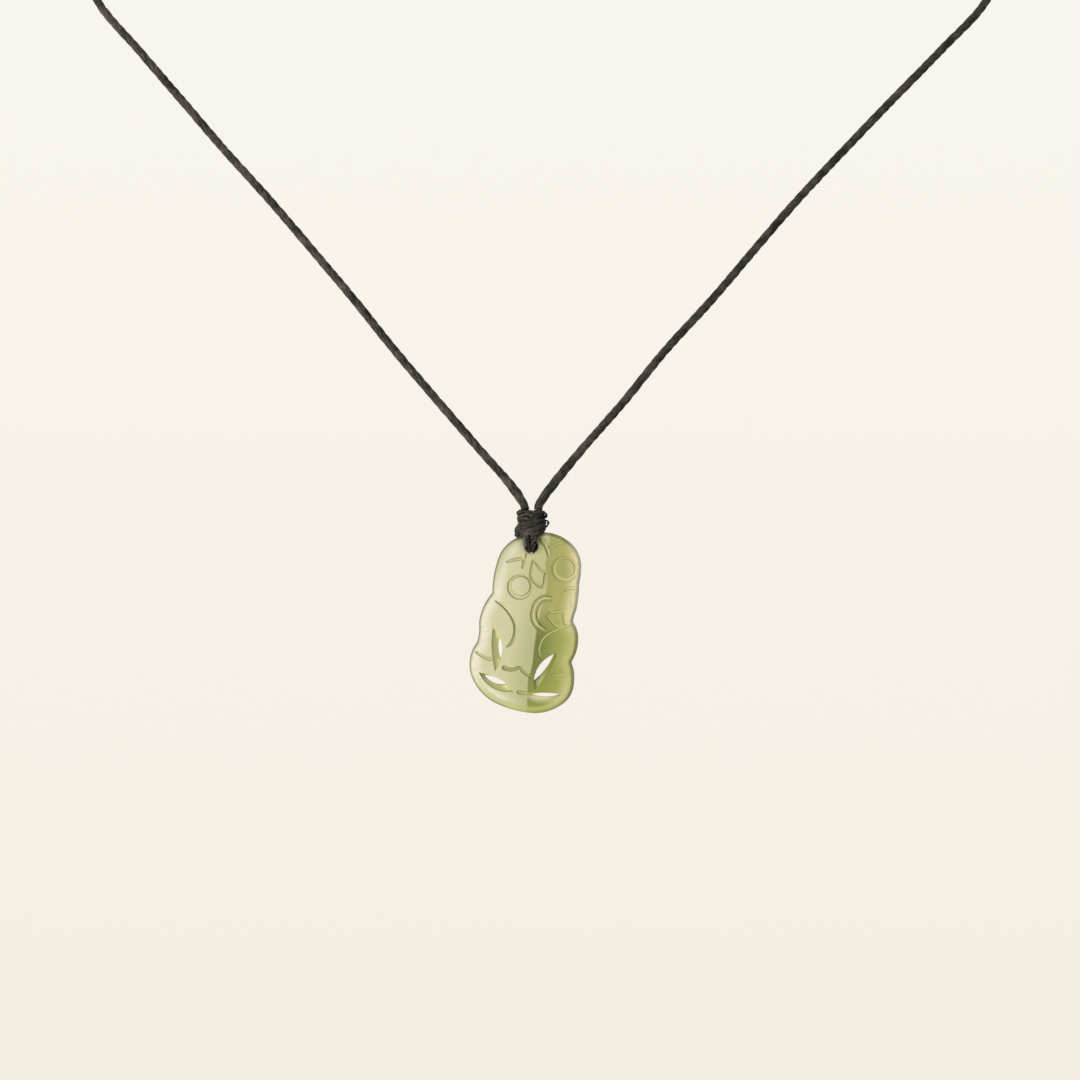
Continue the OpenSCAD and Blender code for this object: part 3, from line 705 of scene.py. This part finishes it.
def carveShape():  # all the lines that the stone is cut along, in mm
    size = stoneSize
    shape = {"rim": softened(closedArcs(outlineArcs, stoneMesh["edgeStep"]), 5)}
    shape["hollows"] = [lensLine(hollow, 0.2) for hollow, _, _ in slotLenses]
    shape["holes"] = [softened(lensLine(hole, 0.14), 1) for _, hole, _ in slotLenses]
    shape["drillAt"] = np.array([size["holeSide"], size["high"] - size["holeDrop"]])
    shape["drill"] = circleLine(shape["drillAt"], size["hole"] / 2, stoneMesh["holeSides"])[:-1]
    shape["lines"] = [smoothLine(row[-1], 0.35) for row in engraving]
    shape["eyes"] = [circleLine(row[i], row[i + 1], stoneMesh["eyeSides"])
                     for row in eyeRings for i in (0, 2)]
    return shape


def crown(up):  # half the thickness, by the share of the height
    size = stoneSize
    middle = size["thickest"]
    high = np.clip((up - middle) / (1 - middle), 0, 1) ** 2
    low = np.clip((middle - up) / middle, 0, 1) ** 2
    return np.where(up > middle, size["belly"] + (size["head"] - size["belly"]) * high,
                    size["belly"] + (size["foot"] - size["belly"]) * low) / 2


def bodyHeight(points, shape):  # how far the uncut stone stands out, and the distance to its rim
    size = stoneSize
    gap = gapTo(points, shape["rim"], True)[0]
    near = np.clip(gap / size["rim"], 0, 1)
    rounded = np.sqrt(np.clip(1 - (1 - near) ** size["rimPower"], 0, 1))
    drill = np.hypot(*(points - shape["drillAt"]).T) - size["hole"] / 2
    lip = size["lip"] * (1 - ease(drill / size["lipWide"]))
    return crown(points[:, 1] / size["high"]) * rounded - lip * (near > 0.3), gap


def frontHeight(points, shape):  # how far the carved front stands out, with what the finish needs to know
    height, gap = bodyHeight(points, shape)
    plan = cutShape
    cut, shine, lip, hollow = (np.zeros(len(points)) for _ in range(4))

    # shine: how bright the highlight painted on a cut's floor is
    def engrave(groove, deep, light):
        nonlocal height, cut, shine
        height = height - deep * groove
        shine = np.where(groove > cut, light, shine)
        cut = np.maximum(cut, groove)

    for (deep, startHalf, endHalf, fall, light, _), line in zip(engraving, shape["lines"]):
        distance, side, along = gapTo(points, line, False)
        toEnd = np.minimum(along, 1 - along)
        whole = np.sin(math.pi / 2 * np.clip(plan["tipSteep"] * toEnd, 0, 1))
        taper = plan["tipWide"] + (1 - plan["tipWide"]) * whole
        half = startHalf + (endHalf - startHalf) * along
        groove = 1 - ease((distance / (half * taper) - plan["wallStart"]) / plan["wallWide"])
        engrave(groove * (plan["tipDeep"] + (1 - plan["tipDeep"]) * taper), deep * plan["deep"], light)
        beside = np.where(side * np.sign(fall) > 0, 1.0, 0.0) * ease(toEnd * plan["dropSteep"])
        height = height - abs(fall) * beside * np.exp(-distance / plan["dropReach"]) * ease(distance / half)
    for outer, outerRadius, inner, innerRadius, deep, dome, light, soft, dark in eyeRings:
        fromOuter = outerRadius - np.hypot(*(points - outer).T)
        fromInner = np.hypot(*(points - inner).T) - innerRadius
        engrave(ease(np.minimum(fromOuter / soft, fromInner / plan["ringWall"]) + 0.3), deep, light)
        height = height + dome * ease(-fromInner / innerRadius)
        lip = np.maximum(lip, dark * ease(-fromInner / 0.25))
    for outer, inner, (_, _, soft) in zip(shape["hollows"], shape["holes"], slotLenses):
        within = inside(points, outer) | inside(points, inner)
        toOuter = gapTo(points[within], outer, True)[0]
        toInner = np.where(inside(points[within], inner), 0, gapTo(points[within], inner, True)[0])
        share = toOuter / np.maximum(toOuter + toInner, 1e-6)
        crisp = soft < 1
        edge = plan["hollowEdge"]
        bevel = ease(toOuter / edge) * edge + (1 - edge) * share if crisp else share * edge
        height[within] -= stoneSize["bevel"] * bevel
        start = np.clip(toOuter / soft, 0, 1)
        hollow[within] = np.maximum(hollow[within], start if crisp else ease(start))
        # a dark line painted along the hollow's edge, painted shade
        lip[within] = np.maximum(lip[within], start * (1 - start) if crisp else 0)
    return height, {"rimGap": gap, "cut": cut, "shine": shine, "hollow": hollow, "lip": lip}


def triangles(edges, inner):  # Delaunay triangles over the stone, with its holes left out
    points = np.concatenate(edges + [inner])
    bonds, at = [], 0
    for ring in edges:
        bonds += [(at + i, at + (i + 1) % len(ring)) for i in range(len(ring))]
        at += len(ring)
    out, _, faces, origin, _, _ = delaunay_2d_cdt([Vector(p) for p in points], bonds, [], 0, 1e-7)
    source = np.array([rows[0] if rows else -1 for rows in origin])
    faces = source[np.array(faces)]
    faces = faces[(faces >= 0).all(1)]
    middle = points[faces].mean(1)
    keep = inside(middle, edges[0])
    for ring in edges[1:]:
        keep &= ~inside(middle, ring)
    return points, faces[keep]


def rimRings(line, count):  # points that follow the rounding of the rim
    way = np.roll(line, -1, 0) - np.roll(line, 1, 0)
    inward = np.c_[way[:, 1], -way[:, 0]] / np.linalg.norm(way, axis=1)[:, None]
    rings = []
    for i in range(1, count + 1):
        depth = stoneSize["rim"] * (1 - math.cos(math.pi / 2 * i / (count + 1)))
        ring = (line + inward * depth)[:: 1 if depth < 0.4 else 2]
        rings.append(ring[inside(ring, line) & (gapTo(ring, line, True)[0] > depth * 0.93)])
    return np.concatenate(rings)


def thinned(points, least):  # drops points that almost meet an earlier one
    cells, kept = {}, []
    for i, p in enumerate(points):
        column, row = int(p[0] // least), int(p[1] // least)
        around = [j for dx in (-1, 0, 1) for dz in (-1, 0, 1) for j in cells.get((column + dx, row + dz), ())]
        if all((points[j][0] - p[0]) ** 2 + (points[j][1] - p[1]) ** 2 >= least ** 2 for j in around):
            cells.setdefault((column, row), []).append(i)
            kept.append(i)
    return points[kept]


def nearest(points, lines):  # distance to the nearest of the lines
    return np.min([gapTo(points, line, closed)[0] for line, closed in lines], axis=0)


def layPoints(shape, edges):  # points for the front, close together by the cuts, and for the back
    plan = stoneMesh
    low, high = edges[0].min(0), edges[0].max(0)
    cuts = [(line, False) for line in shape["lines"] + shape["eyes"]]
    cuts += [(line, True) for line in shape["hollows"]]
    fine, coarse = hexGrid(plan["fine"], low, high), hexGrid(plan["coarse"], low, high)
    front = np.concatenate([fine[nearest(fine, cuts) < plan["near"]],
                            coarse[nearest(coarse, cuts) >= plan["near"]]])
    rings = [circleLine(shape["drillAt"], stoneSize["hole"] / 2 + out, plan["holeSides"])[:-1]
             for out in plan["collar"]]
    rings.append(rimRings(edges[0], plan["rimRings"]))
    sides = []
    for grid in (front, hexGrid(plan["back"], low, high)):
        grid = grid[inside(grid, edges[0])]
        grid = grid[gapTo(grid, edges[0], True)[0] > stoneSize["rim"] * 0.86]
        for ring in edges[1:]:
            grid = grid[~inside(grid, ring)]
            grid = grid[gapTo(grid, ring, True)[0] > plan["clear"]]
        sides.append(thinned(np.concatenate(rings + [grid]), plan["least"]))
    return sides


def closeMesh(mesh):  # drops loose points, turns the faces outwards and counts open edges
    bm = bmesh.new()
    bm.from_mesh(mesh)
    bmesh.ops.delete(bm, geom=[v for v in bm.verts if not v.link_faces], context="VERTS")
    bmesh.ops.recalc_face_normals(bm, faces=bm.faces)
    bmesh.ops.triangulate(bm, faces=[f for f in bm.faces if len(f.verts) > 3])
    openEdges = sum(1 for e in bm.edges if not e.is_manifold)
    bm.to_mesh(mesh)
    bm.free()
    return openEdges


def makeStone(finish):
    shape = carveShape()
    edges = [shape["rim"], shape["drill"]] + shape["holes"]
    frontInner, backInner = layPoints(shape, edges)
    front, frontFaces = triangles(edges, frontInner)
    back, backFaces = triangles(edges, backInner)
    y, marks = frontHeight(front, shape)
    yBack, gapBack = bodyHeight(back, shape)
    rimCount, shift = len(shape["rim"]), len(front)
    y[:rimCount] = yBack[:rimCount] = 0
    points = np.concatenate([np.c_[front[:, 0], -y, front[:, 1]], np.c_[back[:, 0], yBack, back[:, 1]]])
    backIndex = np.arange(len(back)) + shift
    backIndex[:rimCount] = np.arange(rimCount)  # front and back share the rim
    walls, at = [], rimCount
    for ring in edges[1:]:
        loop = at + np.arange(len(ring))
        walls += [(a, b, shift + b, shift + a) for a, b in zip(loop, np.roll(loop, -1))]
        at += len(ring)
    faces = [tuple(f) for f in frontFaces] + [tuple(backIndex[f[::-1]]) for f in backFaces] + walls

    foot = hang + (-stoneSize["holeSide"], 0, stoneSize["holeDrop"] - stoneSize["high"])
    mesh = bpy.data.meshes.new("carvedStone")
    mesh.from_pydata(((points + foot) * mm).tolist(), [], [list(map(int, f)) for f in faces])
    seamGap, seamSide, _ = gapTo(np.concatenate([front, back]), smoothLine(onFace(seam), 0.5), False)
    values = {name: np.r_[mark, np.zeros(len(back))] for name, mark in marks.items()}
    values["rimGap"][shift:] = gapBack
    values["hollow"][shift + rimCount + len(shape["drill"]):shift + at] = 1  # the slots' edges on the back get the hollows' painted light too
    values["seam"] = seamGap * -seamSide
    for name, row in values.items():
        mesh.attributes.new(name, "FLOAT", "POINT").data.foreach_set("value", row.astype(np.float32))
    openEdges = closeMesh(mesh)
    mesh.polygons.foreach_set("use_smooth", [True] * len(mesh.polygons))
    mesh.set_sharp_from_angle(angle=math.radians(42))
    mesh.materials.append(finish)
    stone = linkObject("carvedStone", mesh)
    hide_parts("tiki")
    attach(stone, "stone")
    print("stone", len(mesh.polygons), "faces,", openEdges, "open edges")
    return stone


# Jade

def tint(red, green, blue):  # a colour as a paint chart gives it
    return (*(c / 255 / 12.92 if c < 11 else ((c / 255 + 0.055) / 1.055) ** 2.4 for c in (red, green, blue)), 1)


jadeFinish = {
    "milk": tint(232, 228, 209), "cream": tint(206, 203, 162), "mistHigh": tint(190, 187, 134),
    "mist": tint(182, 184, 134), "bud": tint(170, 168, 92), "leaf": tint(152, 160, 72),
    "shadeHigh": tint(158, 159, 90), "shadeLow": tint(108, 118, 50), "earth": tint(156, 142, 82),
    # blush tones tint random wisps in the green and, with blushRim and blushFoot, give the painted light along
    # the green rim
    "blush": tint(228, 217, 168), "blushRim": tint(250, 238, 200), "blushLow": tint(191, 191, 124),
    # floor: the painted highlight on the cuts' floors
    "blushFoot": tint(214, 208, 156), "olive": tint(130, 136, 66), "floor": tint(218, 216, 156),
    # edge: painted shade, for the outline and round the hole; rimShade: painted shade along the rim
    "edge": tint(100, 106, 54), "rimShade": tint(172, 170, 132), "rimBand": tint(184, 187, 112),
    # hollow tones: painted light and shade on the slot walls
    "hollow": tint(210, 213, 150), "hollowGreen": tint(148, 149, 82), "hollowFoot": tint(218, 207, 150),
    # heights in mm from the nape between which the tones change
    "bodySpan": (-173.0, -166.0), "footSpan": (-184.0, -178.0), "headSpan": (-165.0, -158.0),
    "cheekSpan": (-172.0, -168.0), "browSpan": (-158.0, -153.0),
}


def readMarks(sheet):  # what the tones follow: the carving's attributes, heights and clouds
    tone = jadeFinish
    names = ("seam", "rimGap", "cut", "shine", "hollow", "lip")  # seam is in mm, positive on the green side
    marks = SimpleNamespace(**{name: sheet.attribute(name) for name in names})
    spot = sheet.node("ShaderNodeSeparateXYZ", None, sheet.place())
    marks.deep, marks.high = spot["Y"], spot["Z"]
    marks.lower = 1 - sheet.step(marks.high, *tone["bodySpan"])
    marks.foot = 1 - sheet.step(marks.high, *tone["footSpan"])
    marks.big = sheet.clouds(sheet.place((0.09, 0.09, 0.07)), 3.0, 0.55, 0.4)
    marks.wisps = sheet.clouds(sheet.place((0.35, 0.3, 0.12), turn=(0, 0.3, 0)), 5.0, 0.6, 1.2)
    marks.grain = sheet.clouds(sheet.place((2.6, 2.6, 2.6)), 4.0, 0.65)
    marks.across = marks.seam + (marks.wisps - 0.5) * 0.4 + (marks.grain - 0.5) * 0.12
    soft = 0.32 - marks.lower * 0.20
    marks.onGreen = sheet.step(marks.across + 0.05, 0.0 - soft, soft)
    return marks


def paleTones(sheet, marks):
    tone = jadeFinish
    striae = sheet.clouds(sheet.place((0.12, 0.3, 1.9), turn=(0, 0.16, 0)), 3.0, 0.6, 0.3)
    inward = sheet.step(marks.rimGap + (marks.big - 0.5) * 1.2, 0.7, 3.0)
    pale = sheet.blend(inward, tone["milk"], tone["cream"])
    mist = sheet.blend(marks.lower, tone["mistHigh"], tone["mist"])
    pale = sheet.blend(sheet.step(marks.seam + (marks.big - 0.5) * 3.0, -6.2, -0.4), pale, mist)
    pale = sheet.blend(sheet.step(marks.wisps, 0.5, 0.75) * 0.25, pale, mist)
    pale = sheet.blend(sheet.step(striae, 0.5, 0.72) * 0.22, pale, tone["mist"])
    # painted shade: the head's rim mixed towards the darker mist tone
    headRimShade = (1 - sheet.step(marks.rimGap, 0.5, 2.2)) * sheet.step(marks.high, *tone["headSpan"])
    return sheet.blend(headRimShade * 0.7, pale, tone["mist"])


def greenTones(sheet, marks):
    tone = jadeFinish
    lower, foot, rimGap = marks.lower, marks.foot, marks.rimGap
    mottle = sheet.clouds(sheet.place((0.75, 0.75, 0.6), shift=(3, 0, 5)), 4.0, 0.6, 0.8)
    green = sheet.blend(lower, tone["bud"], tone["leaf"])
    # glow: a lighter tone painted along the green side's rim, painted light through the thin edge; the same
    # tones tint random wisps in the green
    glow = sheet.blend(lower, tone["blush"], tone["blushLow"])
    green = sheet.blend(sheet.step(marks.wisps, 0.5, 0.8) * 0.22, green, glow)
    glow = sheet.blend(foot, glow, tone["blushFoot"])
    # painted light: brightest close to the rim above the body
    glow = sheet.blend((1 - sheet.step(rimGap, 0.4, 1.2)) * (1 - lower), glow, tone["blushRim"])
    # rimGlowBand: where the painted light lies, within a few mm of the rim on the green side
    rimGlowBand = 1 - sheet.step(rimGap + (marks.big - 0.5) * 1.2 + lower * 1.2, 1.2, 5.0)
    green = sheet.blend(rimGlowBand * sheet.step(marks.seam, 2.6, 6.0) * 0.92, green, glow)
    shade = sheet.blend(lower, tone["shadeHigh"], tone["shadeLow"])
    reach = lower * 3.2 + 2.4
    green = sheet.blend((1 - sheet.step(marks.across / reach, 0.05, 1.0)) * (0.9 - foot * 0.45), green, shade)
    return sheet.blend(sheet.step(mottle, 0.48, 0.72) * (0.30 - lower * 0.12), green, tone["earth"])


def carvingTones(sheet, marks, colour):  # painted shade on the walls and floors of the cuts, painted highlights on their floors, and the hollows' tones
    tone = jadeFinish
    cut, foot, onGreen = marks.cut, marks.foot, marks.onGreen
    colour = sheet.blend((1 - sheet.step(marks.rimGap, 1.1, 1.5)) * foot * 0.7, colour, tone["rimBand"])
    # painted shade on the cuts' walls
    wallShade = (cut * (1 - cut) * 4) ** 0.7
    colour = sheet.blend(wallShade * (0.72 - onGreen * 0.30), colour, tone["olive"])
    # painted highlights on the lit floors, and painted shade on the floors of the unlit lines
    colour = sheet.blend(cut * cut * cut * marks.shine * (0.5 + onGreen * 0.2), colour, tone["floor"])
    colour = sheet.blend(cut * cut * (1 - marks.shine) * 0.7, colour, tone["olive"])
    # the slot hollows' walls: lighter tones painted as light through the stone, a darker olive on the green
    # side above the foot, a pale tone at the foot
    walls = sheet.blend(onGreen * (1 - foot), tone["hollow"], tone["hollowGreen"])
    walls = sheet.blend(foot * onGreen, walls, tone["hollowFoot"])
    colour = sheet.blend(marks.hollow * 0.9, colour, walls)
    # lip: painted shade as a dark line along the hollows' edges, and the eyes' darker disc
    return sheet.blend(marks.lip * 1.7, colour, tone["olive"])


def edgeTones(sheet, marks, colour):  # painted shade: the darker rim of the front, and a painted contact shadow round the hole
    tone = jadeFinish
    onLeft = 1 - sheet.step(marks.seam, -6.0, -2.0)
    front = 1 - sheet.step(marks.deep, hang[1] - 1.3, hang[1] + 0.4)
    # painted shade along the rim on the pale side, stronger on the front half
    rim = (1 - sheet.step(marks.rimGap, 0.1, 1.2)) * onLeft
    colour = sheet.blend(rim * (front * 0.45 + 0.2), colour, tone["rimShade"])
    brow = sheet.step(marks.high, *tone["browSpan"])
    cheek = sheet.step(marks.high, *tone["cheekSpan"]) * (1 - brow) * marks.onGreen
    # a thin dark outline painted at the rim's very edge, painted shade, fainter on the cheek
    edge = (1 - sheet.step(marks.rimGap, 0.02, 0.24 + onLeft * 0.18)) * (front * 0.8 + 0.2)
    colour = sheet.blend(edge * (0.42 - cheek * 0.40 + onLeft * 0.5), colour, tone["edge"])
    # painted contact shadow round the drilled hole, on both sides of the bight
    fromHole = sheet.vectors("DISTANCE", sheet.place((1, 0, 1)), (hang[0], 0, hang[2] + 1.2), out="Value")
    return sheet.blend((1 - sheet.step(fromHole + marks.grain * 1.4, 1.8, 3.9)) * 0.75, colour, tone["edge"])


def makeJade():
    material, sheet = newMaterial("polishedJade")
    marks = readMarks(sheet)
    colour = sheet.blend(marks.onGreen, paleTones(sheet, marks), greenTones(sheet, marks))
    colour = edgeTones(sheet, marks, carvingTones(sheet, marks, colour))
    colour = sheet.blend(sheet.step(marks.grain, 0.6, 0.8) * 0.10, colour, jadeFinish["olive"])
    rough = 0.34 + marks.grain * 0.10 + marks.cut * 0.15 + (1 - sheet.step(marks.rimGap, 0.1, 0.7)) * 0.2
    bump = sheet.node("ShaderNodeBump", None, Strength=0.12, Distance=0.00005, Height=marks.grain)
    sheet.finish(Base_Color=colour, Roughness=rough, Normal=bump, IOR=1.6, Subsurface_Weight=0.35,
                 Subsurface_Radius=(1.0, 0.95, 0.5), Subsurface_Scale=0.0008)
    return material


carvedStone = makeStone(makeJade())
